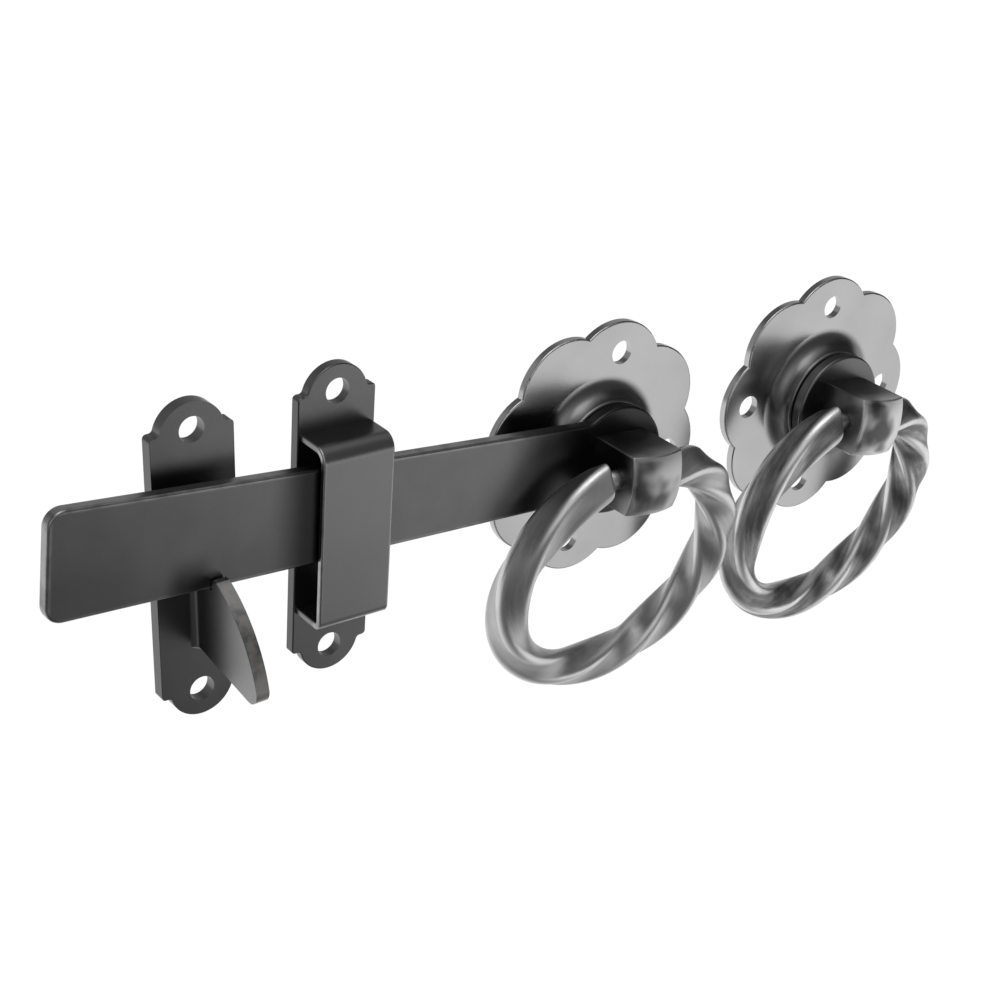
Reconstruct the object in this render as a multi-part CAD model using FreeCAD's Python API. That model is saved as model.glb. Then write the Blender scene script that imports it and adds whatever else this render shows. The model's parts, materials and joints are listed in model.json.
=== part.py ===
import FreeCAD, Part
import math
import os

# Ring gate latch set, laid out on a gate face: keep, guide, latch bar and two twisted ring handles.
# Millimetres and degrees. X runs along the bar, Y into the gate, Z up, and the fronts face -Y.
# The origin is on the inner spindle's axis, at the gate face.

# Places of the pieces on the gate face
keep_x = -138.9
keep_z = -2.7
keep_turn = -2.4
guide_x = -95.1
guide_z = -1.3
handle_gap = 6.6
outer_z = -2.1
bar_tilt = 3.35
inner_rose_turn = 14.0
outer_rose_turn = 4.0
outer_hub_turn = 8.0

# Screw plates of the keep and the guide
guide_sheet = 3.2
plate_width = 25.0
plate_hole_spacing = 80.0
ear_width = 19.4
ear_rise = 8.0
screw_hole_dia = 7.6
shoulder_round = 1.2
ear_cove = 1.2
plate_edge_round = 0.4

# Keep fin, folded forward out of the plate
keep_sheet = 4.0
fin_offset = -1.0
fold_radius = 2.0
fin_reach = 35.8
fin_drop = 25.6
fin_lower_slope = 8.0
fin_corner_radius = 4.0
fin_side = 5.0
ramp_bulge = 3.6
tip_rise = 3.6
tip_land = 2.4
tip_round = 1.0
notch_relief = 4.0

# Latch bar
bar_length = 187.2
bar_end_width = 32.2
bar_root_width = 24.3
bar_thickness = 4.0
bar_rise = 1.0
bar_corner_radius = 5.0
bar_edge_round = 0.8
eye_radius = 17.5
eye_neck_round = 4.0

# Guide strap
strap_width = 23.0
strap_thickness = 2.0
strap_top_bend = 4.6
strap_bottom_bend = 2.9
strap_room_below = 18.1
strap_headroom = 1.1
strap_edge_round = 0.5
latch_lift = 1.6

# Roses
rose_lobes = 8
rose_radius = 41.0
rose_notch_radius = 36.8
rose_thickness = 2.5
rose_hole_circle = 62.0
rose_holes = 4
collar_height = 8.8
collar_base_radius = 23.4
collar_rim_radius = 18.0
collar_hollow = 0.7
collar_rim_round = 0.8
rose_edge_round = 0.5

# Hubs and spindle
hub_width = 19.0
hub_length = 21.0
hub_dome_radius = 26.0
hub_edge_round = 0.6
tenon_width = 13.0
shank_radius = 6.4
shank_end = 3.0
clip_thickness = 1.2
clip_radius = 9.0
clip_mouth = 7.0
groove_depth = 0.95
spindle_width = 7.0
spindle_behind = 20.0
socket_depth = 14.0
spindle_bevel = 0.8

# Rings
ring_radius = 39.8
ring_crown = 3.5
ring_offset = 2.6
ring_bend = 12.0
inner_ring_reach = 39.8
outer_ring_reach = 35.8
ring_bar = 10.8
ring_bar_round = 2.6
ring_twist = -736.0
ring_twist_phase = 48.0
ring_twist_growth = 1.2
ring_overrun = 5.0
ring_sections = 76
ring_left_gap = 2.6
pivot_depth = 24.5
pivot_radius = 3.0
pivot_length = 4.6

# Clearances
turn_gap = 0.3
slide_gap = 0.4
seat_gap = 0.2
bore_fit = 0.06
square_fit = 0.05
pin_end_gap = 0.3

# Depths from the gate face, worked out from the stack of rose, eye and hub
eye_back = collar_height + turn_gap
eye_front = eye_back + bar_thickness
hub_front = eye_front + hub_length
strap_inside = eye_front + slide_gap
strap_front = strap_inside + strap_thickness

# The ring's middle below its pivots, its bar's reach at a corner, and the outer handle's place
ring_drop = ring_radius - ring_crown
ring_corner = (ring_bar / 2 - ring_bar_round) * math.sqrt(2) + ring_bar_round
outer_x = inner_ring_reach + outer_ring_reach + 2 * ring_corner + handle_gap

GATE_AXIS = FreeCAD.Vector(0, 1, 0)
CLOSE = 1e-6


def at(x, y, z):
    return FreeCAD.Vector(x, y, z)


def line(start, end):
    return Part.LineSegment(start, end).toShape()


def arc(start, through, end):
    return Part.Arc(start, through, end).toShape()


def chain(points):
    """Straight edges through the points in turn."""
    return [line(a, b) for a, b in zip(points, points[1:])]


def slab(edges, push):
    """Solid from a closed outline of edges, pushed along a vector."""
    return Part.Face(Part.Wire(Part.__sortEdges__(edges))).extrude(push)


def post(radius, front, back, x=0.0, z=0.0):
    """Cylinder along Y between two depths, both counted forward from the gate face."""
    return Part.makeCylinder(radius, front - back, at(x, -front, z), GATE_AXIS)


def square_post(width, front, back):
    """Square bar along Y between two depths, both counted forward from the gate face."""
    return Part.makeBox(width, front - back, width, at(-width / 2, -front, -width / 2))


def turned(shape, degrees):
    """The shape turned about the Y axis: a positive turn lifts the -X side."""
    copy = shape.copy()
    copy.rotate(at(0, 0, 0), GATE_AXIS, degrees)
    return copy


def moved(shape, x, z):
    copy = shape.copy()
    copy.translate(at(x, 0, z))
    return copy


def bar_half_width(along):
    """Half the bar's width at a distance from the spindle axis."""
    return (bar_root_width + (bar_end_width - bar_root_width) * along / bar_length) / 2


def bar_edge(x, side, lift=0.0):
    """Height of the bar's top (side 1) or bottom (side -1) edge at a place along X."""
    taper = math.degrees(math.atan((bar_end_width - bar_root_width) / 2 / bar_length))
    angle = math.radians(bar_tilt + lift + side * taper)
    return -x * math.tan(angle) + (bar_rise + side * bar_root_width / 2) / math.cos(angle)


def ear_top(z, up):
    """Ear above (up 1) or below (up -1) a screw hole's height, with a square shoulder on either side."""
    half = plate_width / 2
    side = ear_width / 2
    dome = arc(at(side, 0, z), at(0, 0, z + up * ear_rise), at(-side, 0, z))
    return [line(at(half, 0, z), at(side, 0, z)), dome, line(at(-side, 0, z), at(-half, 0, z))]


def ear_circle():
    """Radius of the ear's round, and how far its middle lies inside the screw hole's."""
    side = ear_width / 2
    radius = (side ** 2 + ear_rise ** 2) / (2 * ear_rise)
    return radius, radius - ear_rise


def screw_holes(thickness):
    """The two screw holes of a plate, as one cutter."""
    z = plate_hole_spacing / 2
    upper = post(screw_hole_dia / 2, thickness, 0, 0, z)
    return upper.fuse(post(screw_hole_dia / 2, thickness, 0, 0, -z))


def edges_at(shape, corners):
    """Edges across a plate at the given (x, z) places."""
    found = []
    for edge in shape.Edges:
        centre = edge.CenterOfMass
        for x, z in corners:
            if abs(centre.x - x) < CLOSE and abs(centre.z - z) < CLOSE:
                found.append(edge)
    return found


def round_shoulders(plate, shoulders):
    """Rounds the shoulders at the given (x, z) places, and the coves between them and their ears."""
    coves = [(math.copysign(ear_width / 2, x), z) for x, z in shoulders]
    plate = plate.makeFillet(shoulder_round, edges_at(plate, shoulders))
    return plate.makeFillet(ear_cove, edges_at(plate, coves))


def round_front(plate, thickness, radius):
    """Rounds the edges of a plate's front face."""
    edges = []
    for edge in plate.Edges:
        if edge.BoundBox.YLength < CLOSE and abs(edge.BoundBox.YMin + thickness) < CLOSE:
            edges.append(edge)
    return plate.makeFillet(radius, edges)


def guide_plate():
    half = plate_width / 2
    z = plate_hole_spacing / 2
    sides = [line(at(half, 0, -z), at(half, 0, z)), line(at(-half, 0, z), at(-half, 0, -z))]
    plate = slab(ear_top(z, 1) + ear_top(-z, -1) + sides, at(0, -guide_sheet, 0))
    corners = [(x, s * z) for x in (-half, half) for s in (-1, 1)]
    plate = round_front(round_shoulders(plate, corners), guide_sheet, plate_edge_round)
    return moved(plate.cut(screw_holes(guide_sheet)), guide_x, guide_z)


def guide_strap():
    """U of strip: top flange, front web and bottom flange, with its bends towards the viewer."""
    left = guide_x - strap_width / 2
    right = guide_x + strap_width / 2
    top = bar_edge(left, 1, latch_lift) + strap_headroom + strap_thickness
    bottom = bar_edge(right, -1) - strap_room_below - strap_thickness

    def path(inset):
        """Outer outline of the U, or its inner one when set in by the strip's thickness."""
        front = -strap_front + inset
        upper = strap_top_bend - inset
        lower = strap_bottom_bend - inset
        corner = math.sqrt(0.5)
        high = top - inset
        low = bottom + inset
        return [
            line(at(left, -guide_sheet, high), at(left, front + upper, high)),
            arc(at(left, front + upper, high),
                at(left, front + upper * (1 - corner), high - upper * (1 - corner)),
                at(left, front, high - upper)),
            line(at(left, front, high - upper), at(left, front, low + lower)),
            arc(at(left, front, low + lower),
                at(left, front + lower * (1 - corner), low + lower * (1 - corner)),
                at(left, front + lower, low)),
            line(at(left, front + lower, low), at(left, -guide_sheet, low)),
        ]

    ends = [line(at(left, -guide_sheet, z), at(left, -guide_sheet, z - strap_thickness))
            for z in (top, bottom + strap_thickness)]
    strap = slab(path(0) + path(strap_thickness) + ends, at(strap_width, 0, 0))
    rims = [e for e in strap.Edges
            if e.BoundBox.XLength < CLOSE and e.CenterOfMass.y < -guide_sheet - CLOSE]
    return strap.makeFillet(strap_edge_round, rims)


def notch_floor():
    """Height of the notch in the keep's own frame, just under the bar at the fin's right face."""
    right = fin_offset + keep_sheet
    tilt = math.radians(keep_turn)
    seat = bar_edge(keep_x + right, -1) - seat_gap - keep_z
    return (seat + right * math.sin(tilt)) / math.cos(tilt)


def keep_plate(fold_x, fin_foot, shelf):
    """Flat part of the keep: its lower ear runs up to the fold in a straight line that touches its round."""
    half = plate_width / 2
    z = plate_hole_spacing / 2
    radius, inset = ear_circle()
    middle = at(0, 0, inset - z)
    reach = at(fold_x, 0, fin_foot) - middle
    touch = math.atan2(reach.z, reach.x) - math.acos(radius / reach.Length)
    touch_point = middle + at(math.cos(touch), 0, math.sin(touch)) * radius
    lower_left = at(-ear_width / 2, 0, -z)
    lower_ear = [arc(touch_point, at(0, 0, -z - ear_rise), lower_left), line(lower_left, at(-half, 0, -z))]
    right_side = chain([at(half, 0, z), at(half, 0, shelf), at(fold_x, 0, shelf),
                        at(fold_x, 0, fin_foot), touch_point])
    left_side = [line(at(-half, 0, -z), at(-half, 0, z))]
    plate = slab(ear_top(z, 1) + right_side + lower_ear + left_side, at(0, -keep_sheet, 0))
    plate = round_shoulders(plate, [(-half, z), (half, z), (-half, -z)])
    return plate.cut(screw_holes(keep_sheet))


def keep_fin(root, floor, fin_foot):
    """Fin: lower edge, rounded outer corner, bulging ramp, tip and the notch that takes the bar."""
    wall = -eye_front - slide_gap
    tip = floor + tip_rise
    low_outer = fin_foot - (fin_reach + root) * math.tan(math.radians(fin_lower_slope))
    ramp_top = at(fin_offset, wall - tip_land, tip)
    ramp_foot = at(fin_offset, -fin_reach, low_outer + fin_side)
    chord = ramp_foot - ramp_top
    outward = at(0, chord.z, -chord.y).normalize()
    ramp_middle = ramp_top + chord * 0.5 + outward * ramp_bulge
    edges = chain([ramp_foot, at(fin_offset, -fin_reach, low_outer), at(fin_offset, root, fin_foot),
                   at(fin_offset, root, floor), at(fin_offset, wall, floor),
                   at(fin_offset, wall, tip), ramp_top])
    fin = slab(edges + [arc(ramp_top, ramp_middle, ramp_foot)], at(keep_sheet, 0, 0))
    return round_fin(fin, [(-fin_reach, low_outer, fin_corner_radius), (wall, tip, tip_round),
                           (wall - tip_land, tip, tip_round)])


def keep():
    """One sheet: screw plate, ears and the fin, which is folded forward along a line near the middle."""
    fold_x = fin_offset - fold_radius
    root = -keep_sheet - fold_radius
    floor = notch_floor()
    fin_foot = -fin_drop
    centre = at(fold_x, root, fin_foot)
    tall = floor - fin_foot
    bend = Part.makeCylinder(fold_radius + keep_sheet, tall, centre, at(0, 0, 1), 90)
    bend = bend.cut(Part.makeCylinder(fold_radius, tall, centre, at(0, 0, 1), 90))
    plate = keep_plate(fold_x, fin_foot, floor + notch_relief)
    whole = plate.fuse([bend, keep_fin(root, floor, fin_foot)]).removeSplitter()
    return moved(turned(whole, keep_turn), keep_x, keep_z)


def round_fin(fin, corners):
    """Rounds the fin's edges across the sheet at (y, z) places, each by its own radius."""
    for y, z, radius in corners:
        edges = [e for e in fin.Edges
                 if abs(e.CenterOfMass.y - y) < CLOSE and abs(e.CenterOfMass.z - z) < CLOSE]
        fin = fin.makeFillet(radius, edges)
    return fin


def round_rims(disc, radius):
    """Rounds every edge that lies in one of the two flat faces across Y."""
    box = disc.BoundBox
    edges = []
    for edge in disc.Edges:
        flat = edge.BoundBox.YLength < CLOSE
        if flat and min(abs(edge.BoundBox.YMin - box.YMin), abs(edge.BoundBox.YMax - box.YMax)) < CLOSE:
            edges.append(edge)
    return disc.makeFillet(radius, edges)


def eye_hole():
    """Square hole that takes the hub's tenon."""
    return square_post(tenon_width + 2 * square_fit, eye_front, eye_back)


def latch_bar():
    """Tapered flat bar, drawn level and then tilted to lie in the keep."""
    root = bar_half_width(0)
    end = bar_half_width(bar_length)
    corners = [(0, root), (-bar_length, end), (-bar_length, -end), (0, -root), (0, root)]
    bar = slab(chain([at(x, -eye_back, bar_rise + z) for x, z in corners]), at(0, -bar_thickness, 0))
    ends = [(-bar_length, bar_rise + z) for z in (-end, end)]
    bar = bar.makeFillet(bar_corner_radius, edges_at(bar, ends))
    bar = bar.fuse(post(eye_radius, eye_front, eye_back)).removeSplitter()
    necks = [e for e in bar.Edges
             if e.BoundBox.YLength > CLOSE and e.BoundBox.XLength < CLOSE
             and -eye_radius < e.CenterOfMass.x < 0]
    bar = bar.makeFillet(eye_neck_round, necks)
    bar = round_rims(bar, bar_edge_round).cut(eye_hole())
    return turned(bar, bar_tilt)


def washer():
    """Round washer of the eye's size, for the handle that carries no bar."""
    return round_rims(post(eye_radius, eye_front, eye_back), bar_edge_round).cut(eye_hole())


def rose():
    """Lobed plate with a hollow flared collar, a bore for the shank and screw holes in every other lobe."""
    step = 2 * math.pi / rose_lobes
    edges = []
    for lobe in range(rose_lobes):
        notch_a = (lobe - 0.5) * step
        notch_b = (lobe + 0.5) * step
        tip = lobe * step
        edges.append(arc(at(rose_notch_radius * math.cos(notch_a), 0, rose_notch_radius * math.sin(notch_a)),
                         at(rose_radius * math.cos(tip), 0, rose_radius * math.sin(tip)),
                         at(rose_notch_radius * math.cos(notch_b), 0, rose_notch_radius * math.sin(notch_b))))
    plate = round_front(slab(edges, at(0, -rose_thickness, 0)), rose_thickness, rose_edge_round)

    # Collar: a concave flare turned about the Y axis, and the hollow behind it
    base = at(collar_base_radius, -rose_thickness, 0)
    rim = at(collar_rim_radius, -collar_height, 0)
    sag = (collar_base_radius - collar_rim_radius) * collar_hollow / 2
    waist = (base + rim) * 0.5 - at(sag, -sag, 0) * math.sqrt(0.5)
    flare = [arc(base, waist, rim)] + chain([rim, at(0, -collar_height, 0), at(0, -rose_thickness, 0), base])
    collar = Part.Face(Part.Wire(flare)).revolve(at(0, 0, 0), GATE_AXIS, 360)
    rim_edges = [e for e in collar.Edges if abs(e.BoundBox.YMin + collar_height) < CLOSE
                 and e.BoundBox.YLength < CLOSE]
    collar = collar.makeFillet(collar_rim_round, rim_edges)
    inside_rim = collar_rim_radius - rose_thickness
    inside_base = collar_base_radius - rose_thickness
    hollow = Part.makeCone(inside_rim, inside_base, collar_height - rose_thickness,
                           at(0, -collar_height + rose_thickness, 0), GATE_AXIS)
    cutters = [hollow, post(shank_radius + bore_fit, collar_height, 0)]
    for hole in range(rose_holes):
        angle = 2 * math.pi * hole / rose_holes
        radius = rose_hole_circle / 2
        cutters.append(post(screw_hole_dia / 2, rose_thickness, 0,
                            radius * math.cos(angle), radius * math.sin(angle)))
    return plate.fuse(collar).removeSplitter().cut(cutters)


def groove_back():
    """Depth of the clip's rear face: the clip sits just behind the collar's front wall."""
    return collar_height - rose_thickness - turn_gap - clip_thickness


def hub():
    """Square block with a domed front, a tenon for the eye, a shank for the rose and bores for the ring."""
    block = square_post(hub_width, hub_front, eye_front)
    block = block.common(Part.makeSphere(hub_dome_radius, at(0, hub_dome_radius - hub_front, 0)))
    rims = [e for e in block.Edges if e.BoundBox.YMax < -eye_front - CLOSE or e.BoundBox.YLength > CLOSE]
    block = block.makeFillet(hub_edge_round, rims)
    tenon = square_post(tenon_width, eye_front, eye_back)
    body = block.fuse([tenon, post(shank_radius, eye_back, shank_end)])
    groove_front = groove_back() + clip_thickness + square_fit
    groove = post(clip_radius, groove_front, groove_back() - square_fit)
    groove = groove.cut(post(shank_radius - groove_depth, groove_front, groove_back() - square_fit))
    socket = square_post(spindle_width + 2 * square_fit, shank_end + socket_depth, shank_end)
    cutters = [groove, socket]
    for side in (-1, 1):
        bore_length = pivot_length + turn_gap + pin_end_gap
        mouth = at(side * hub_width / 2, -pivot_depth, 0)
        cutters.append(Part.makeCylinder(pivot_radius + bore_fit, bore_length, mouth, at(-side, 0, 0)))
    return body.cut(cutters)


def clip():
    """Open spring clip that snaps into the shank's groove."""
    back = groove_back()
    outer = post(clip_radius, back + clip_thickness, back)
    bore = post(shank_radius - groove_depth + square_fit, back + clip_thickness, back)
    mouth = Part.makeBox(clip_mouth, clip_thickness, clip_radius,
                         at(-clip_mouth / 2, -back - clip_thickness, -clip_radius))
    return outer.cut([bore, mouth])


def spindle():
    """Square rod, fast in the inner hub, which reaches through the gate to the outer one."""
    front = shank_end + socket_depth - pin_end_gap
    rod = square_post(spindle_width, front, -spindle_behind)
    ends = [e for e in rod.Edges if e.BoundBox.YLength < CLOSE]
    return rod.makeChamfer(spindle_bevel, ends)


def ring_lean():
    """Lean at which the foot of the ring lies against the gate face."""
    return math.degrees(math.asin((pivot_depth - ring_corner - turn_gap) / (ring_drop + ring_radius)))


def ring_legs():
    """Lengths along the ring's middle line of its round, right bend and right neck, the round's first angle,
    the bend's middle along X and the angle that the bend turns through."""
    start = hub_width / 2 + ring_left_gap + ring_offset
    first = math.pi - math.acos(start / ring_radius)
    reach = math.sqrt((ring_radius - ring_bend) ** 2 - (ring_drop - ring_bend) ** 2)
    turn = math.atan2(reach, ring_drop - ring_bend)
    right = ring_offset + reach
    sweep = math.pi * 5 / 2 - turn - first
    lengths = [ring_radius * sweep, ring_bend * turn, right - hub_width / 2 - turn_gap]
    return lengths, first, right, turn


def ring_point(along):
    """Point of the ring's middle line at a distance from its left end, on a ring as wide as it is tall."""
    lengths, first, right, turn = ring_legs()
    if along <= lengths[0]:
        angle = first + along / ring_radius
        return ring_offset + ring_radius * math.cos(angle), ring_radius * math.sin(angle) - ring_drop
    along -= lengths[0]
    if along <= lengths[1]:
        angle = math.pi / 2 - turn + along / ring_bend
        return right + ring_bend * math.cos(angle), ring_bend * math.sin(angle) - ring_bend
    return right - (along - lengths[1]), 0.0


def ring_station(along, reach):
    """Middle of the ring's bar and its outward direction, the ring being drawn in to its reach."""
    def point(where):
        x, z = ring_point(where)
        return at(ring_offset + (x - ring_offset) * reach / ring_radius, 0, z)
    ahead = point(along + CLOSE) - point(along - CLOSE)
    return point(along), at(ahead.z, 0, -ahead.x).normalize()


def rounded_square(middle, across, depth):
    """Closed wire of the ring bar's section, drawn on two unit vectors about its middle."""
    half = ring_bar / 2
    flat = half - ring_bar_round
    diagonal = flat + ring_bar_round * math.sqrt(0.5)
    edges = []
    for u, v in ((across, depth), (depth, -across), (-across, -depth), (-depth, across)):
        side_end = middle + u * half + v * flat
        edges.append(line(middle + u * half - v * flat, side_end))
        edges.append(arc(side_end, middle + (u + v) * diagonal, middle + u * flat + v * half))
    return Part.Wire(edges)


def ring(reach):
    """Square bar, twisted more and more from left to right, bent into a ring, with its overrun ends cut off
    beside the hub and a pivot at either end.
    Drawn in the XZ plane with its pivot line on the X axis, then leaned back and set at the pivot's depth."""
    length = sum(ring_legs()[0])
    wires = []
    for k in range(ring_sections + 1):
        along = (length + 2 * ring_overrun) * k / ring_sections - ring_overrun
        middle, radial = ring_station(along, reach)
        wound = max(0.0, along / length) ** ring_twist_growth
        twist = math.radians(ring_twist_phase + ring_twist * wound)
        across = radial * math.cos(twist) + GATE_AXIS * math.sin(twist)
        depth = GATE_AXIS * math.cos(twist) - radial * math.sin(twist)
        wires.append(rounded_square(middle, across, depth))
    left = hub_width / 2 + ring_left_gap
    right = hub_width / 2 + turn_gap
    hub_room = Part.makeBox(left + right, 4 * ring_bar, 2 * ring_bar, at(-left, -2 * ring_bar, -ring_bar))
    inside = hub_width / 2 - pivot_length
    pins = []
    for side, end in ((-1, left), (1, right)):
        pin_length = end + pivot_radius - inside
        pins.append(Part.makeCylinder(pivot_radius, pin_length, at(side * inside, 0, 0), at(side, 0, 0)))
    whole = Part.makeLoft(wires, True, False, False, 3).cut(hub_room).fuse(pins)
    whole.rotate(at(0, 0, 0), at(1, 0, 0), ring_lean())
    whole.translate(at(0, -pivot_depth, 0))
    return whole


def inner(shape):
    return turned(shape, bar_tilt)


def outer(shape):
    return moved(turned(shape, outer_hub_turn), outer_x, outer_z)


def build():
    """Every piece in its place, by node name."""
    one_rose = rose()
    one_hub = hub()
    one_clip = clip()
    return {
        "keep": keep(),
        "guide_plate": guide_plate(),
        "guide_strap": guide_strap(),
        "latch_bar": latch_bar(),
        "inner_rose": turned(one_rose, inner_rose_turn),
        "inner_hub": inner(one_hub),
        "inner_clip": inner(one_clip),
        "inner_ring": inner(ring(inner_ring_reach)),
        "spindle": inner(spindle()),
        "outer_rose": moved(turned(one_rose, outer_rose_turn), outer_x, outer_z),
        "outer_washer": outer(washer()),
        "outer_hub": outer(one_hub),
        "outer_clip": outer(one_clip),
        "outer_ring": outer(ring(outer_ring_reach)),
    }


os.makedirs("parts", exist_ok=True)
for name, shape in build().items():
    shape.exportStep(os.path.join("parts", name + ".step"))
    print(name, "solids", len(shape.Solids), "valid", shape.isValid(), "volume", round(shape.Volume))
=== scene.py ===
import json
import math

import bpy
import numpy as np
from mathutils import Matrix, Vector


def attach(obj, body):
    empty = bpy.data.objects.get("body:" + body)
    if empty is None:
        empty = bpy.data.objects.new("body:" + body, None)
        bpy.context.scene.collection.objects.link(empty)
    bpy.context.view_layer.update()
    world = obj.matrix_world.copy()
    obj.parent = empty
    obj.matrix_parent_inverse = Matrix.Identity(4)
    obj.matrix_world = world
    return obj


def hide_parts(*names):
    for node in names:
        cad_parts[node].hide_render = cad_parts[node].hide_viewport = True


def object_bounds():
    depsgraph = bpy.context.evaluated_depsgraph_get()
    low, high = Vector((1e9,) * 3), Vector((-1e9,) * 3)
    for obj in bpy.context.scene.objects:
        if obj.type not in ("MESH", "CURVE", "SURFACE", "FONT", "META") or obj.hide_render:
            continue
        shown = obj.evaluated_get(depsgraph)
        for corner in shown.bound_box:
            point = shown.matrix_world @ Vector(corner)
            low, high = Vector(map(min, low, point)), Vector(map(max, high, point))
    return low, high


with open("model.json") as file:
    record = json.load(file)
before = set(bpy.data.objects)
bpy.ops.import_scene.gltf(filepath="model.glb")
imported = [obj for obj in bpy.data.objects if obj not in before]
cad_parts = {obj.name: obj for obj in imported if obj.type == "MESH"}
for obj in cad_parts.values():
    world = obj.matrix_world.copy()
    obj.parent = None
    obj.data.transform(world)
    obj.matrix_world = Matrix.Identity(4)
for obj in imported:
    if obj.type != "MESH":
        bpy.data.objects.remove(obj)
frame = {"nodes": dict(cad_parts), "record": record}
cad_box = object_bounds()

# Ring gate latch: satin dark steel pieces from the frame, and the two twisted rings worked out as surfaces.
# X runs along the latch bar, Y into the gate and Z up. Sizes of the pieces are in millimetres and degrees,
# and sizes of the studio in metres.

MM = 0.001

# Twisted rings: the sizes of the solids, apart from the cut that shortens the left end
RING_RADIUS = 39.8
RING_DROP = 36.3
RING_OFFSET = 2.6
RING_BEND = 12.0
RING_REACH = {"inner": 39.8, "outer": 35.8}
RING_BAR = 10.8
RING_BAR_ROUND = 2.6
RING_TWIST = -736.0
RING_TWIST_PHASE = 48.0
RING_TWIST_GROWTH = 1.2
RING_OVERRUN = 8.0
RING_LEFT_GAP = 2.6
RING_LEFT_CUT = 5.0
RING_END_ROUND = 0.9
HUB_WIDTH = 19.0
END_GAP = 0.3
PIN_RADIUS = 3.0
PIN_INSIDE = 4.9
PIN_IN_BAR = 1.5

# Rows and points of the rings' surfaces, and samples in the search for their cut ends
RING_STEPS = 420
RING_CORNERS = 80
RIM_ROWS = 6
CUT_SAMPLES = 600

# Latch bar: tilt, rise, length and widths
BAR_TILT = 3.35
BAR_RISE = 1.0
BAR_LENGTH = 187.2
BAR_ROOT_WIDTH = 24.3
BAR_END_WIDTH = 32.2

# Guide strap: its middle, width and foot. Both plates: their width.
# Keep: its fin's place, its turn, and its plate's middle from the fin.
STRAP_X = -95.1
STRAP_WIDTH = 23.0
STRAP_FOOT = 28.1
PLATE_WIDTH = 25.0
KEEP_FIN = (-137.9, -2.7)
KEEP_TURN = -2.4
KEEP_MIDDLE = -1.0

# Where each mark on the finish, worn or painted light and shade, starts and where it is whole. Rims and sides
# are measured past the piece's own edge, folds from its foot, fronts along Y, and the bar's marks along it or
# along X.
BAR_RIM = (-1.5, -0.4)
BAR_TIP = (-1.8, -0.5)
BAR_CLEAR = (20.0, 32.0)
# The bar's painted shade in the guide and round the hub, and its painted reflection of the fin on the keep
GUIDE_SHADE_IN = (-123.0, -110.0)
GUIDE_SHADE_OUT = (-84.0, -95.1)
BAR_HUB_SHADE = (44.0, 28.0)
FIN_REFLECTION_MIDDLE = 146.0
FIN_REFLECTION_SIDE = (9.0, 2.0)
FIN_REFLECTION_TOP = (13.0, 3.0)
STRAP_RIM = (-0.9, -0.2)
STRAP_FOLD = (1.6, 0.5)
STRAP_FRONT = (-11.0, -13.0)
PLATE_SIDE = (-0.35, -0.15)
FIN_EDGE = (1.95, 1.7)
FIN_EDGE_FRONT = (-12.0, -14.0)
FIN_FRONT = (-5.0, -12.0)
ROSE_COLLAR = (24.0, 21.5)
HUB_FRONT = (-24.0, -33.0)
# Right of the hub's front: painted highlight
HUB_RIGHT_HIGHLIGHT = (0.0, 7.6)

# How much of each mark shows, worn or painted light and shade
# Share of the edges' lighter grey, which is wear and also a painted highlight
EDGE_WEAR_AND_HIGHLIGHT = 0.8
# Shares of the bar's painted shade and of its painted reflection of the fin
GUIDE_SHADE_SHARE = 0.9
BAR_HUB_SHADE_SHARE = 0.8
FIN_REFLECTION_SHARE = 0.65
# Painted shade on the plates' cut sides
SIDE_SHADE_SHARE = 0.6
# Painted light on the keep's fin, lighter away from the plate
FIN_LIGHT_SHARE = 0.7
HANDLED_SHARE = 0.5

# Linear greys, from dark to light where there are two; the outer handle is the more worn
BLACK_GREYS = (0.155, 0.188)
# Light grey of the bar's edges: wear and painted highlight
WORN_LIT_BAR_GREY = 0.4
# Grey of the bar's painted shade and painted reflection
PAINTED_SHADE_GREY = 0.02
# Grey of the painted shade on the plates' cut sides
SIDE_SHADE_GREY = 0.07
HANDLED_STRAP_GREY = 0.27
# Light grey of the strap's edges: wear and painted highlight
WORN_LIT_STRAP_GREY = 0.45
# Grey of the painted light on the keep's fin
LIT_FIN_GREY = 0.3
BARE_FIN_GREY = 0.36
BARE_FIN_WARMTH = 0.04
ROSE_GREYS = (0.45, 0.52)
# Grey of the painted shade on the roses' collars
COLLAR_SHADE_GREY = 0.2
# Ring greys: the lighter one is wear and, along the ridges, a painted highlight
RING_GREYS = {"inner": (0.42, 0.7), "outer": (0.16, 0.78)}
HUB_GREYS = {"inner": (0.1, 0.52), "outer": (0.1, 0.7)}
GROUND_GREYS = (0.38, 0.5)

# Roughness of each finish, and what it gains where each of its patterns is whole
BLACK_ROUGHNESS = (0.27, 0.08, 0.05)
ROSE_ROUGHNESS = (0.18, 0.06, 0.03, 0.08)
RING_ROUGHNESS = (0.43, -0.08, 0.12)
HUB_ROUGHNESS = (0.3, 0.08, 0.04)
GROUND_ROUGHNESS = (0.3, 0.15)
BARE_FIN_ROUGHNESS = 0.15

# Noise, in waves per metre
BLACK_CLOUDS = 45.0
BLACK_GRAIN = 1400.0
WEAR_PATCHES = 160.0
FIN_CHIPS = 350.0
ROSE_CLOUDS = 35.0
ROSE_GRAIN = 1800.0
RING_STREAKS = (80.0, 600.0, 600.0)
RING_PATCHES = (80.0, 160.0, 160.0)
HUB_CLOUDS = 90.0
HUB_GRAIN = 1200.0
GROUND_LINES = (1500.0, 60.0, 1500.0)

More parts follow.
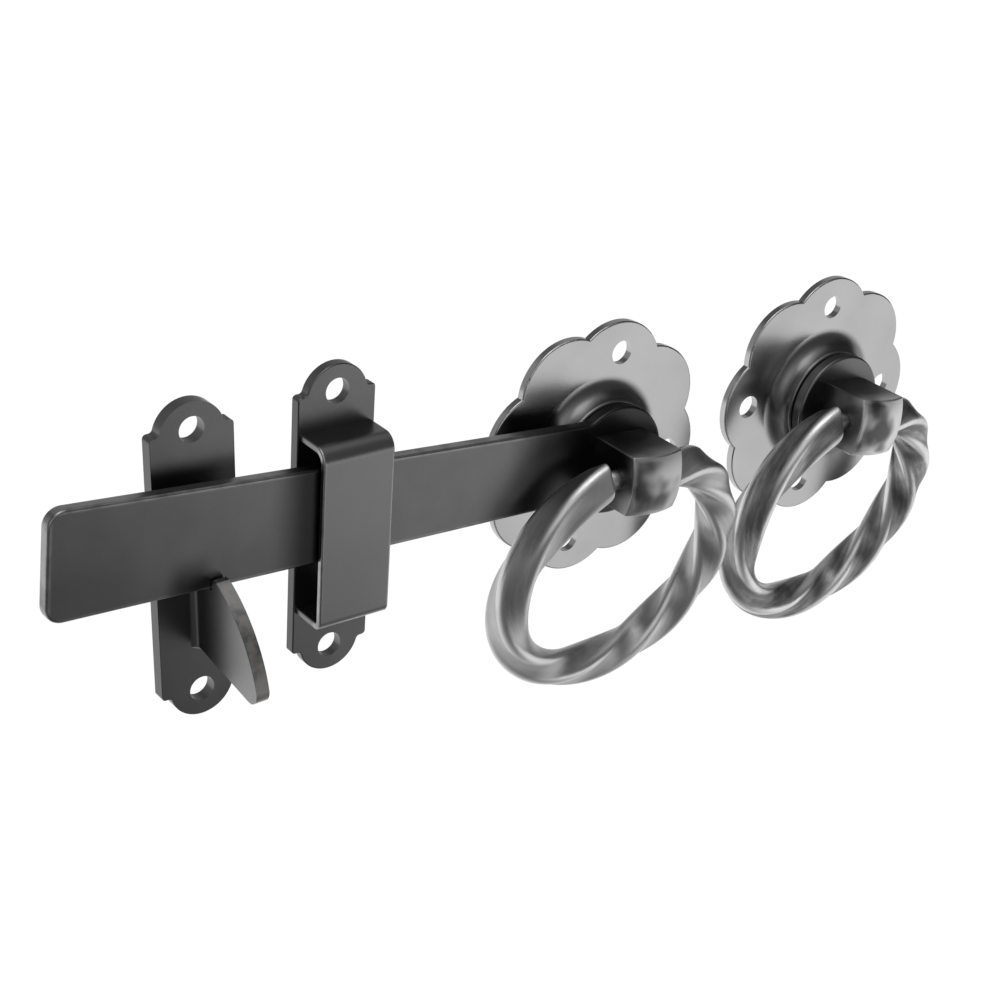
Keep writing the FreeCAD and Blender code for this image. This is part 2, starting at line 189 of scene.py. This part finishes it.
# Noise or mask values where each pattern starts to show and where it is whole, and the middle of noise
BLACK_CLOUD_SPAN = (0.3, 0.7)
WEAR_PATCH_SPAN = (0.2, 0.6)
FIN_CHIP_SPAN = (0.3, 0.6)
ROSE_CLOUD_SPAN = (0.25, 0.75)
RING_CREST_SPAN = (0.35, 1.0)
RING_RUB_AND_HIGHLIGHT_SPAN = (-0.25, 0.75)
HUB_EDGE_WEAR_AND_HIGHLIGHT_SPAN = (0.8, 1.0)
HUB_SMUDGE_AND_HIGHLIGHT_SPAN = (0.38, 0.72)
NOISE_MIDDLE = 0.5

# Rings: what ridges, streaks and patches add to how rubbed they look, which on the ridges is also a painted
# highlight, and how much of a ridge their pins are
CREST_RUB_AND_HIGHLIGHT = 0.6
RUB_BY_STREAK = 0.9
RUB_BY_PATCH = 1.1
PIN_RIDGE = 0.4

# Hubs: what clouds add to their edges, which are wear and painted highlight, and the painted highlights to their
# smudges, and how much of those is on their sides
EDGE_BY_CLOUD = 0.25
SMUDGE_BY_HIGHLIGHT = 0.22
SMUDGE_ON_SIDES = 0.1

# Strengths of bump, and the heights of grain and streaks in metres
BLACK_BUMP = 0.05
PEWTER_BUMP = 0.04
STREAK_BUMP = 0.3
GRAIN_HEIGHT = 0.0002
STREAK_HEIGHT = 0.0003

# Camera of the photograph, found from the plates', roses' and bar's outlines
IMAGE_SIDE = 990
FOCAL_PIXELS = 2061.36
CAMERA_YAW = -38.315
CAMERA_PITCH = 26.117
CAMERA_ROLL = 4.132
CAMERA_DISTANCE = 0.61854
CAMERA_TARGET = (-0.035435, 0.0, -0.008807)
SENSOR = 36.0

# Floor: half its side, its place under the part, its greys, and where it dims in the metal
FLOOR_HALF = 6.0
FLOOR_GAP = 0.35
FLOOR_GREY = 0.9
FLOOR_WHITE = 1.06
FLOOR_GLOW = 0.94
FLOOR_DIM = 0.93
FLOOR_LEFT = (0.55, 0.05)
FLOOR_NEAR = (0.2, -0.3)

# Room that the metal sees: its own level, and each light's strength with the direction values where it starts
# and is whole
ROOM_DIM = 0.045
ROOM_TOP = 0.5
ROOM_TOP_Z = (0.72, 0.96)
ROOM_NEAR = 0.12
ROOM_NEAR_Y = (0.0, -0.6)
ROOM_FRONT = 0.3
ROOM_FRONT_WAY = (-0.55, -0.65, 0.52)
ROOM_FRONT_FACING = (0.6, 0.95)
ROOM_BACK = 0.35
ROOM_BACK_Y = (0.2, 0.6)
ROOM_BACK_Z = (0.75, 0.55)

# Lamps: place, size and power
KEY_LAMP = ((-0.3, -0.3, 1.5), 1.0, 4.0)
FRONT_LAMP = ((-0.9, -1.2, 0.7), 0.9, 1.0)


class Sock:
    """A node socket that can be used in sums: operators on it add Math nodes to its tree."""

    def __init__(self, tree, socket):
        self.tree = tree
        self.socket = socket

    def _math(self, operation, a, b):
        return self.tree.node("ShaderNodeMath", {"operation": operation}, {0: a, 1: b})[0]

    def __add__(self, other):
        return self._math("ADD", self, other)

    def __radd__(self, other):
        return self._math("ADD", other, self)

    def __sub__(self, other):
        return self._math("SUBTRACT", self, other)

    def __rsub__(self, other):
        return self._math("SUBTRACT", other, self)

    def __mul__(self, other):
        return self._math("MULTIPLY", self, other)

    def __rmul__(self, other):
        return self._math("MULTIPLY", other, self)

    def __truediv__(self, other):
        return self._math("DIVIDE", self, other)

    def __pow__(self, other):
        return self._math("POWER", self, other)

    def __abs__(self):
        return self._math("ABSOLUTE", self, 0.0)

    def highest(self, other):
        return self._math("MAXIMUM", self, other)


class Tree:
    """A node tree with one way to add a node: its type, its settings and its socket values or links."""

    def __init__(self, node_tree):
        self.tree = node_tree
        self.tree.nodes.clear()

    def node(self, kind, settings=None, sockets=None):
        made = self.tree.nodes.new(kind)
        for name, value in (settings or {}).items():
            setattr(made, name, value)
        for key, value in (sockets or {}).items():
            if isinstance(value, Sock):
                self.tree.links.new(value.socket, made.inputs[key])
            else:
                made.inputs[key].default_value = value
        return [Sock(self, out) for out in made.outputs]

    def named(self, kind, output, settings=None, sockets=None):
        """One output of a new node, by name."""
        made = self.node(kind, settings, sockets)
        return next(s for s in made if s.socket.name == output and s.socket.enabled)

    def place(self):
        """Place on the piece, in metres."""
        return self.named("ShaderNodeTexCoord", "Object")

    def axes(self, where):
        return self.node("ShaderNodeSeparateXYZ", {}, {0: where})

    def stretch(self, where, scale):
        return self.node("ShaderNodeMapping", {}, {"Vector": where, "Scale": scale})[0]

    def millimetres(self):
        """Place on the piece along X, Y and Z, in millimetres."""
        return self.axes(self.stretch(self.place(), (1 / MM, 1 / MM, 1 / MM)))

    def noise(self, where, scale, detail=3.0, roughness=0.5):
        return self.node("ShaderNodeTexNoise", {"noise_dimensions": "3D"},
                         {"Vector": where, "Scale": scale, "Detail": detail, "Roughness": roughness})[0]

    def ramp(self, value, start, whole):
        """0 at start, 1 at whole, smooth between; whole may be the lower one."""
        return self.node("ShaderNodeMapRange", {"interpolation_type": "SMOOTHSTEP"},
                         {"Value": value, "From Min": start, "From Max": whole})[0]

    def blend(self, factor, first, second):
        """Mix of two colours, on the Mix node's colour sockets."""
        return self.node("ShaderNodeMix", {"data_type": "RGBA"}, {0: factor, 6: first, 7: second})[2]

    def bump(self, height, strength, distance):
        return self.node("ShaderNodeBump", {},
                         {"Height": height, "Strength": strength, "Distance": distance})[0]


def grey(level, warmth=0.0):
    """Linear grey with a touch of warm or cool."""
    return (level * (1 + warmth), level, level * (1 - warmth), 1.0)


def metal(name, paint):
    """New material whose surface is one Principled shader; paint(tree) gives its sockets."""
    made = bpy.data.materials.new(name)
    made.use_nodes = True
    tree = Tree(made.node_tree)
    surface = tree.node("ShaderNodeBsdfPrincipled", {}, paint(tree))[0]
    tree.node("ShaderNodeOutputMaterial", {}, {"Surface": surface})
    return made


def roughened(levels, *patterns):
    """A finish's own roughness, and what it gains where each of its patterns is whole."""
    own, *gains = levels
    return sum((gain * pattern for gain, pattern in zip(gains, patterns)), own)


def turned(x, z, turn):
    """Distances across and up from a middle, on axes that are turned about Y."""
    return x * math.cos(turn) - z * math.sin(turn), x * math.sin(turn) + z * math.cos(turn)


def black_bar_steel(tree):
    """Satin black steel of the bar, keep and guide: dark even grey, faintly clouded, with a fine grain."""
    cloud = tree.noise(tree.place(), BLACK_CLOUDS, detail=4.0)
    grain = tree.noise(tree.place(), BLACK_GRAIN, detail=2.0)
    return {
        "Base Color": tree.blend(tree.ramp(cloud, *BLACK_CLOUD_SPAN), *map(grey, BLACK_GREYS)),
        "Roughness": roughened(BLACK_ROUGHNESS, cloud, grain),
        "Metallic": 1.0,
        "Normal": tree.bump(grain, BLACK_BUMP, GRAIN_HEIGHT),
    }


def worn_and_highlit(tree, colour, where, level):
    """A colour that wears to a lighter grey in patches over the mask it is given, which on edges is wear and
    also a painted highlight.
    """
    patches = tree.ramp(tree.noise(tree.place(), WEAR_PATCHES), *WEAR_PATCH_SPAN)
    return tree.blend(EDGE_WEAR_AND_HIGHLIGHT * where * patches, colour, grey(level))


def worn_lit_shaded_bar_steel(tree):
    """The bar's black steel: it wears light along its edges, which also paints their highlight, and it is dark
    with painted shade in the guide and round the hub, and with a painted reflection of the fin on the keep. Its
    marks follow distances along and across its tilted, widening outline."""
    paint = black_bar_steel(tree)
    x, _, z = tree.millimetres()
    back, up = turned(x, z, math.radians(BAR_TILT))
    along = -1.0 * back
    across = up - BAR_RISE
    half = BAR_ROOT_WIDTH / 2 + along * ((BAR_END_WIDTH - BAR_ROOT_WIDTH) / 2 / BAR_LENGTH)
    rim = tree.ramp(abs(across) - half, *BAR_RIM)
    tip = tree.ramp(along - BAR_LENGTH, *BAR_TIP)
    # Edges lighter: wear and a painted highlight
    edges = rim.highest(tip) * tree.ramp(along, *BAR_CLEAR)
    # Painted shade: darker in the guide and round the hub, and a painted reflection of the fin where the bar
    # lies on the keep
    in_guide = tree.ramp(x, *GUIDE_SHADE_IN) * tree.ramp(x, *GUIDE_SHADE_OUT)
    at_hub = tree.ramp(along, *BAR_HUB_SHADE)
    on_keep = tree.ramp(abs(along - FIN_REFLECTION_MIDDLE), *FIN_REFLECTION_SIDE)
    on_keep = on_keep * tree.ramp(across + half, *FIN_REFLECTION_TOP)
    painted_shade = (GUIDE_SHADE_SHARE * in_guide).highest(BAR_HUB_SHADE_SHARE * at_hub)
    painted_shade = painted_shade.highest(FIN_REFLECTION_SHARE * on_keep)
    worn_lit = worn_and_highlit(tree, paint["Base Color"], edges, WORN_LIT_BAR_GREY)
    paint["Base Color"] = tree.blend(painted_shade, worn_lit, grey(PAINTED_SHADE_GREY))
    return paint


def shaded_cut_side(tree, colour, across):
    """A plate's colour, darker with painted shade on its upright cut sides, by the distance from its middle."""
    # Painted shade on the upright cut sides
    side = tree.ramp(abs(across) - PLATE_WIDTH / 2, *PLATE_SIDE)
    return tree.blend(SIDE_SHADE_SHARE * side, colour, grey(SIDE_SHADE_GREY))


def cut_guide_steel(tree):
    """The guide plate's black steel with painted shade on its cut sides."""
    paint = black_bar_steel(tree)
    x, _, _ = tree.millimetres()
    paint["Base Color"] = shaded_cut_side(tree, paint["Base Color"], x - STRAP_X)
    return paint


def worn_lit_strap_steel(tree):
    """The strap's black steel, lighter from handling, and lighter along its upright edges and its lower bend
    from wear and a painted highlight.
    """
    paint = black_bar_steel(tree)
    x, y, z = tree.millimetres()
    side = tree.ramp(abs(x - STRAP_X) - STRAP_WIDTH / 2, *STRAP_RIM)
    fold = tree.ramp(z + STRAP_FOOT, *STRAP_FOLD)
    # Upright edges and lower bend lighter: wear and a painted highlight
    edges = side.highest(fold) * tree.ramp(y, *STRAP_FRONT)
    handled = tree.blend(HANDLED_SHARE, paint["Base Color"], grey(HANDLED_STRAP_GREY))
    paint["Base Color"] = worn_and_highlit(tree, handled, edges, WORN_LIT_STRAP_GREY)
    return paint


def sheared_keep_steel(tree):
    """The keep's black steel: painted shade on its cut sides, and a fin painted lighter away from the plate and
    so darker at its fold, whose edges the shears left bare.
    """
    paint = black_bar_steel(tree)
    x, y, z = tree.millimetres()
    across, _ = turned(x - KEEP_FIN[0], z - KEEP_FIN[1], math.radians(KEEP_TURN))
    edge = tree.ramp(abs(across), *FIN_EDGE) * tree.ramp(y, *FIN_EDGE_FRONT)
    bare = edge * tree.ramp(tree.noise(tree.place(), FIN_CHIPS), *FIN_CHIP_SPAN)
    plate = shaded_cut_side(tree, paint["Base Color"], across - KEEP_MIDDLE)
    # Painted light: the fin lighter away from the plate, darker at its fold
    lit_fin = tree.blend(FIN_LIGHT_SHARE * tree.ramp(y, *FIN_FRONT), plate, grey(LIT_FIN_GREY))
    paint["Base Color"] = tree.blend(bare, lit_fin, grey(BARE_FIN_GREY, BARE_FIN_WARMTH))
    paint["Roughness"] = paint["Roughness"] + BARE_FIN_ROUGHNESS * bare
    return paint


def satin_rose_steel(joint):
    """Satin pewter of a rose, placed by its ring's joint: smooth pressed sheet with a soft grain, duller on the
    drawn collar and darkened there with painted shade round the hub."""
    middle_x, _, middle_z = (v / MM for v in joint["pos_m"])

    def paint(tree):
        cloud = tree.noise(tree.place(), ROSE_CLOUDS, detail=4.0)
        grain = tree.noise(tree.place(), ROSE_GRAIN, detail=2.0)
        x, _, z = tree.millimetres()
        radius = ((x - middle_x) * (x - middle_x) + (z - middle_z) * (z - middle_z)) ** 0.5
        drawn = tree.ramp(radius, *ROSE_COLLAR)
        plate = tree.blend(tree.ramp(cloud, *ROSE_CLOUD_SPAN), *map(grey, ROSE_GREYS))
        return {
            # Painted shade: the collar round the hub darker
            "Base Color": tree.blend(drawn, plate, grey(COLLAR_SHADE_GREY)),
            "Roughness": roughened(ROSE_ROUGHNESS, cloud, grain, drawn),
            "Metallic": 1.0,
            "Normal": tree.bump(grain, PEWTER_BUMP, GRAIN_HEIGHT),
        }
    return paint


def rubbed_highlit_ring_steel(greys):
    """Rubbed pewter of a ring: bright along its ridges from wear and a painted highlight, dull in its flats, and
    streaked along its strands.
    """
    def paint(tree):
        ridge = tree.named("ShaderNodeAttribute", "Fac", {"attribute_name": "ridge"})
        strand = tree.named("ShaderNodeAttribute", "Vector", {"attribute_name": "strand"})
        streak = tree.noise(tree.stretch(strand, RING_STREAKS), 1.0, detail=5.0, roughness=0.65)
        patch = tree.noise(tree.stretch(strand, RING_PATCHES), 1.0)
        crest = tree.ramp(ridge, *RING_CREST_SPAN)
        marks = (streak - NOISE_MIDDLE) * RUB_BY_STREAK + (patch - NOISE_MIDDLE) * RUB_BY_PATCH
        # Ridges lighter: wear and a painted highlight
        rub_and_highlight = tree.ramp(crest * CREST_RUB_AND_HIGHLIGHT + marks, *RING_RUB_AND_HIGHLIGHT_SPAN)
        return {
            "Base Color": tree.blend(rub_and_highlight, *map(grey, greys)),
            "Roughness": roughened(RING_ROUGHNESS, rub_and_highlight, streak - NOISE_MIDDLE),
            "Metallic": 1.0,
            "Normal": tree.bump(streak, STREAK_BUMP, STREAK_HEIGHT),
        }
    return paint


def smudged_highlit_hub_steel(joint, greys):
    """Pewter of a hub, placed by its ring's joint: a dark block with large soft smudges of lighter metal,
    lighter along its front edges from wear and a painted highlight, and with a painted highlight on the right of
    its front."""
    middle_x, _, middle_z = (v / MM for v in joint["pos_m"])

    def paint(tree):
        cloud = tree.noise(tree.place(), HUB_CLOUDS, detail=2.0, roughness=0.45)
        grain = tree.noise(tree.place(), HUB_GRAIN)
        x, y, z = tree.millimetres()
        across, up = turned(x - middle_x, z - middle_z, ring_tilt(joint))
        side = abs(across).highest(abs(up)) / (HUB_WIDTH / 2)
        # Front edges lighter from wear and a painted highlight, the right of the front from a painted highlight;
        # both add to the smudges
        edge = tree.ramp(side + EDGE_BY_CLOUD * (cloud - NOISE_MIDDLE), *HUB_EDGE_WEAR_AND_HIGHLIGHT_SPAN)
        front = tree.ramp(y, *HUB_FRONT)
        right_highlight = tree.ramp(across, *HUB_RIGHT_HIGHLIGHT)
        smudge_and_highlight = tree.ramp(cloud + SMUDGE_BY_HIGHLIGHT * (edge + right_highlight) * front, *HUB_SMUDGE_AND_HIGHLIGHT_SPAN)
        shown = SMUDGE_ON_SIDES + (1 - SMUDGE_ON_SIDES) * front
        return {
            "Base Color": tree.blend(smudge_and_highlight * shown, *map(grey, greys)),
            "Roughness": roughened(HUB_ROUGHNESS, smudge_and_highlight, grain),
            "Metallic": 1.0,
            "Normal": tree.bump(grain, PEWTER_BUMP, GRAIN_HEIGHT),
        }
    return paint


def plain_steel(tree):
    """Plain bright steel of the spindle and clips, lightly ground."""
    lines = tree.noise(tree.stretch(tree.place(), GROUND_LINES), 1.0, detail=2.0)
    return {
        "Base Color": tree.blend(lines, *map(grey, GROUND_GREYS)),
        "Roughness": roughened(GROUND_ROUGHNESS, lines),
        "Metallic": 1.0,
    }


def dress(nodes, material):
    """Gives frame pieces their finish."""
    for name in nodes:
        mesh = frame["nodes"][name].data
        mesh.materials.clear()
        mesh.materials.append(material)


def ring_legs():
    """First angle and length of the round, angle, length and middle X of the bend, and the whole length."""
    start = HUB_WIDTH / 2 + RING_LEFT_GAP + RING_OFFSET
    first = math.pi - math.acos(start / RING_RADIUS)
    across = math.sqrt((RING_RADIUS - RING_BEND) ** 2 - (RING_DROP - RING_BEND) ** 2)
    turn = math.atan2(across, RING_DROP - RING_BEND)
    round_length = RING_RADIUS * (2.5 * math.pi - turn - first)
    right = RING_OFFSET + across
    length = round_length + RING_BEND * turn + right - HUB_WIDTH / 2 - END_GAP
    return first, round_length, turn, RING_BEND * turn, right, length


def ring_line(along, squeeze):
    """Middle line of the ring's bar: a round from the left end, a bend and a straight neck to the hub's right
    side, joined tangent to tangent, with its width drawn in by squeeze. Gives x and z of the line and of its
    outward direction."""
    first, round_length, turn, bend_length, right, _ = ring_legs()
    where = [along < round_length, along < round_length + bend_length]
    bent = along - round_length
    angle = np.select(where, [first + along / RING_RADIUS, math.pi / 2 - turn + bent / RING_BEND],
                      math.pi / 2)
    x = np.select(where, [RING_OFFSET + RING_RADIUS * np.cos(angle), right + RING_BEND * np.cos(angle)],
                  right - (bent - bend_length))
    z = np.select(where, [RING_RADIUS * np.sin(angle) - RING_DROP, RING_BEND * np.sin(angle) - RING_BEND],
                  0.0)
    out_x = np.cos(angle)
    out_z = squeeze * np.sin(angle)
    norm = np.hypot(out_x, out_z)
    return RING_OFFSET + (x - RING_OFFSET) * squeeze, z, out_x / norm, out_z / norm


def bar_reach(around):
    """Distance from the middle to the outline of a square with rounded corners, in the direction around:
    half the width over the cosine on a flat, and the far side of the corner's circle near a diagonal."""
    half = RING_BAR / 2
    flat = half - RING_BAR_ROUND
    fold = np.abs((around + math.pi / 4) % (math.pi / 2) - math.pi / 4)
    c = np.cos(fold)
    s = np.sin(fold)
    on_corner = flat * (c + s) + np.sqrt(np.maximum(RING_BAR_ROUND ** 2 - (flat * (c - s)) ** 2, 0))
    return np.where(s / c < flat / half, half / c, on_corner)


def ring_twist(along):
    """Turn of the bar's outline, growing as a power of the distance from the left end."""
    wound = np.clip(along / ring_legs()[-1], 0, None)
    return np.radians(RING_TWIST_PHASE + RING_TWIST * wound ** RING_TWIST_GROWTH)


def bar_surface(along, around, inset, squeeze):
    """Points of the twisted bar: its outline, drawn in by inset, turned by the twist, set on its middle line."""
    x, z, out_x, out_z = ring_line(along, squeeze)
    radius = bar_reach(around) - inset
    turn = around + ring_twist(along)
    outward = radius * np.cos(turn)
    return np.stack([x + outward * out_x, radius * np.sin(turn), z + outward * out_z], axis=-1)


def left_cut(around, inset, plane, squeeze):
    """Distance along the ring where each line of the bar's surface goes through its cut's upright plane."""
    along = np.linspace(-RING_OVERRUN, 2 * RING_OVERRUN, CUT_SAMPLES)
    x = bar_surface(along[:, None], around[None, :], inset, squeeze)[..., 0]
    past = np.argmax(x <= plane, axis=0)
    column = np.arange(len(around))
    before = x[past - 1, column]
    share = (before - plane) / (before - x[past, column])
    return along[past - 1] + share * (along[past] - along[past - 1])


def bar_stations(around, squeeze):
    """Distances along the ring for a grid of surface points, and how far each row is drawn in: a rounded rim
    at the slanting cut on the left, the bar, and a rounded rim at the square end on the right."""
    turn = np.linspace(0, math.pi / 2, RIM_ROWS)
    rim_depth = RING_END_ROUND * (1 - np.cos(turn))
    rim_inset = RING_END_ROUND * (1 - np.sin(turn))
    plane = -HUB_WIDTH / 2 - RING_LEFT_CUT
    left = np.stack([left_cut(around, i, plane - d, squeeze) for d, i in zip(rim_depth, rim_inset)])
    end = ring_legs()[-1] + (HUB_WIDTH / 2 + END_GAP - RING_OFFSET) * (1 - 1 / squeeze)
    share = np.linspace(0, 1, RING_STEPS)[1:-1, None]
    body = left[-1] + share * (end - RING_END_ROUND / squeeze - left[-1])
    right = end - np.repeat(rim_depth[::-1, None], len(around), axis=1) / squeeze
    inset = np.concatenate([rim_inset, np.zeros(len(share)), rim_inset[::-1]])
    return np.concatenate([left, body, right]), inset[:, None]


def pin_surface(side, end, around):
    """Round pin between the hub's bore and the bar's end: a circle carried along X."""
    x = np.array([PIN_INSIDE, end + PIN_IN_BAR])[:, None] * side + 0 * around
    rows = np.stack([x, PIN_RADIUS * np.sin(around) + 0 * x, PIN_RADIUS * np.cos(around) + 0 * x], axis=-1)
    return rows if side > 0 else rows[::-1]


def ring_tilt(joint):
    """Turn of a hub and its ring about the gate's axis, from the ring's own joint."""
    return math.atan2(joint["axis"][2], -joint["axis"][0])


def ring_place(points, joint):
    """Leans the ring back until its foot is at the gate face, and sets it on its hub by the joint's axis."""
    pivot = np.array(joint["pos_m"])
    corner = (RING_BAR / 2 - RING_BAR_ROUND) * math.sqrt(2) + RING_BAR_ROUND
    lean = math.asin((-pivot[1] / MM - corner - END_GAP) / (RING_DROP + RING_RADIUS))
    back = np.array(Matrix.Rotation(ring_tilt(joint), 3, "Y") @ Matrix.Rotation(lean, 3, "X"))
    return points * MM @ back.T + pivot


def twisted_ring(name, joint, reach):
    """Twisted square bar bent into a ring, with a round pin at either end. Its points keep how far they stand
    out on a ridge, and their place on the bar before it was twisted and bent."""
    squeeze = reach / RING_RADIUS
    around = np.linspace(0, 2 * math.pi, RING_CORNERS, endpoint=False)
    along, inset = bar_stations(around, squeeze)
    bar = bar_surface(along, around[None, :], inset, squeeze)
    ends = ((-1, HUB_WIDTH / 2 + RING_LEFT_CUT), (1, HUB_WIDTH / 2 + END_GAP))
    pins = [pin_surface(side, end, around) for side, end in ends]
    made = closed_tubes(name, [bar] + pins, lambda points: ring_place(points, joint))
    section = bar_reach(around)
    ridge = np.broadcast_to((section - section.min()) / np.ptp(section), along.shape)
    pin_ridges = [np.full(pin.shape[:2], PIN_RIDGE) for pin in pins]
    keep_values(made, "ridge", "FLOAT", "value", [ridge] + pin_ridges)
    flat = section - inset
    strand = np.stack([along, flat * np.cos(around), flat * np.sin(around)], axis=-1)
    keep_values(made, "strand", "FLOAT_VECTOR", "vector", [grid * MM for grid in [strand] + pins])
    return made


def closed_tubes(name, grids, place):
    """One mesh of closed tubes: each row of a grid is a closed line, and the first and last are filled."""
    points = []
    faces = []
    first = 0
    for grid in grids:
        rows, columns = grid.shape[:2]
        index = first + np.arange(rows * columns).reshape(rows, columns)
        across = np.roll(index, -1, axis=1)
        faces += np.stack([index[:-1], index[1:], across[1:], across[:-1]], axis=-1).reshape(-1, 4).tolist()
        faces += [index[0].tolist(), index[-1][::-1].tolist()]
        points.append(grid.reshape(-1, 3))
        first += rows * columns
    mesh = bpy.data.meshes.new(name)
    mesh.from_pydata(place(np.concatenate(points)).tolist(), [], faces)
    mesh.shade_smooth()
    made = bpy.data.objects.new(name, mesh)
    bpy.context.collection.objects.link(made)
    return made


def keep_values(piece, name, kind, field, grids):
    """Attribute on the points of closed tubes, from one grid of values for each tube."""
    values = np.concatenate([grid.reshape(-1) for grid in grids]).astype("f4")
    piece.data.attributes.new(name, kind, "POINT").data.foreach_set(field, values)


def photo_camera():
    """Camera at the photograph's own place, turn and field of view."""
    yaw, pitch, roll = (math.radians(v) for v in (CAMERA_YAW, CAMERA_PITCH, CAMERA_ROLL))
    back = Vector((math.sin(yaw) * math.cos(pitch), -math.cos(yaw) * math.cos(pitch), math.sin(pitch)))
    level = (-back).cross(Vector((0, 0, 1))).normalized()
    upright = level.cross(-back)
    right = level * math.cos(roll) + upright * math.sin(roll)
    up = upright * math.cos(roll) - level * math.sin(roll)
    data = bpy.data.cameras.new("photo_camera")
    data.sensor_width = SENSOR
    data.lens = FOCAL_PIXELS * SENSOR / IMAGE_SIDE
    camera = bpy.data.objects.new("photo_camera", data)
    turn = Matrix((right, up, back)).transposed().to_4x4()
    camera.matrix_world = Matrix.Translation(Vector(CAMERA_TARGET) + back * CAMERA_DISTANCE) @ turn
    bpy.context.collection.objects.link(camera)
    bpy.context.scene.camera = camera


def pale_floor():
    """White floor, which the camera and the metal see as white and which still takes the object's shadow.
    In the metal it dims towards the near left, as a sheet lit from the right does."""
    z = cad_box[0][2] - FLOOR_GAP
    corners = ((-1, -1), (1, -1), (1, 1), (-1, 1))
    mesh = bpy.data.meshes.new("floor")
    mesh.from_pydata([(x * FLOOR_HALF, y * FLOOR_HALF, z) for x, y in corners], [], [(0, 1, 2, 3)])
    floor = bpy.data.objects.new("floor", mesh)
    bpy.context.collection.objects.link(floor)
    made = bpy.data.materials.new("pale_floor")
    made.use_nodes = True
    tree = Tree(made.node_tree)
    x, y, _ = tree.axes(tree.place())
    dim = FLOOR_DIM * tree.ramp(x, *FLOOR_LEFT) * tree.ramp(y, *FLOOR_NEAR)
    seen = tree.named("ShaderNodeLightPath", "Is Camera Ray")
    mirrored = tree.named("ShaderNodeLightPath", "Is Glossy Ray")
    shade = tree.node("ShaderNodeBsdfDiffuse", {}, {"Color": grey(FLOOR_GREY)})[0]
    level = FLOOR_WHITE - dim * mirrored
    glow = tree.node("ShaderNodeEmission", {}, {"Color": grey(1.0), "Strength": level})[0]
    mixed = tree.node("ShaderNodeMixShader", {}, {0: FLOOR_GLOW * (seen + mirrored), 1: shade, 2: glow})[0]
    tree.node("ShaderNodeOutputMaterial", {}, {"Surface": mixed})
    mesh.materials.append(made)


def white_room():
    """Studio round the object: white to the eye, and to the metal a dim room with soft light overhead, in
    front and low at the back."""
    world = bpy.data.worlds.new("white_room")
    bpy.context.scene.world = world
    world.use_nodes = True
    tree = Tree(world.node_tree)
    seen = tree.named("ShaderNodeLightPath", "Is Camera Ray")
    x, y, z = tree.axes(tree.named("ShaderNodeTexCoord", "Generated"))
    facing = x * ROOM_FRONT_WAY[0] + y * ROOM_FRONT_WAY[1] + z * ROOM_FRONT_WAY[2]
    room = ROOM_DIM + ROOM_TOP * tree.ramp(z, *ROOM_TOP_Z) + ROOM_NEAR * tree.ramp(y, *ROOM_NEAR_Y)
    room = room + ROOM_FRONT * tree.ramp(facing, *ROOM_FRONT_FACING)
    room = room + ROOM_BACK * tree.ramp(y, *ROOM_BACK_Y) * tree.ramp(z, *ROOM_BACK_Z)
    light = room + seen * (1.0 - room)
    back = tree.node("ShaderNodeBackground", {}, {"Color": grey(1.0), "Strength": light})[0]
    tree.node("ShaderNodeOutputWorld", {}, {"Surface": back})


def soft_box(name, place, size, power):
    """Square area lamp at a place, turned to the middle of the latch."""
    data = bpy.data.lights.new(name, "AREA")
    data.size = size
    data.energy = power
    lamp = bpy.data.objects.new(name, data)
    lamp.location = place
    lamp.rotation_euler = (-Vector(place)).to_track_quat("-Z", "Y").to_euler()
    bpy.context.collection.objects.link(lamp)


dress(["outer_washer"], metal("black_bar_steel", black_bar_steel))
dress(["guide_plate"], metal("cut_guide_steel", cut_guide_steel))
dress(["latch_bar"], metal("worn_lit_shaded_bar_steel", worn_lit_shaded_bar_steel))
dress(["guide_strap"], metal("worn_lit_strap_steel", worn_lit_strap_steel))
dress(["keep"], metal("sheared_keep_steel", sheared_keep_steel))
dress(["spindle", "inner_clip", "outer_clip"], metal("plain_steel", plain_steel))

joints = {joint["name"]: joint for joint in frame["record"]["behaviour"]["joints"]}
for handle in ("inner", "outer"):
    joint = joints[handle + "_ring_swing"]
    dress([handle + "_rose"], metal(handle + "_rose_steel", satin_rose_steel(joint)))
    hub_steel = metal(handle + "_hub_steel", smudged_highlit_hub_steel(joint, HUB_GREYS[handle]))
    dress([handle + "_hub", handle + "_ring"], hub_steel)
    ring = twisted_ring(handle + "_twisted_ring", joint, RING_REACH[handle])
    ring.data.materials.append(metal(handle + "_ring_steel", rubbed_highlit_ring_steel(RING_GREYS[handle])))
    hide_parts(handle + "_ring")
    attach(ring, handle + "_pull")

photo_camera()
pale_floor()
white_room()
soft_box("key_lamp", *KEY_LAMP)
soft_box("front_lamp", *FRONT_LAMP)

bpy.context.scene.view_settings.view_transform = "Standard"
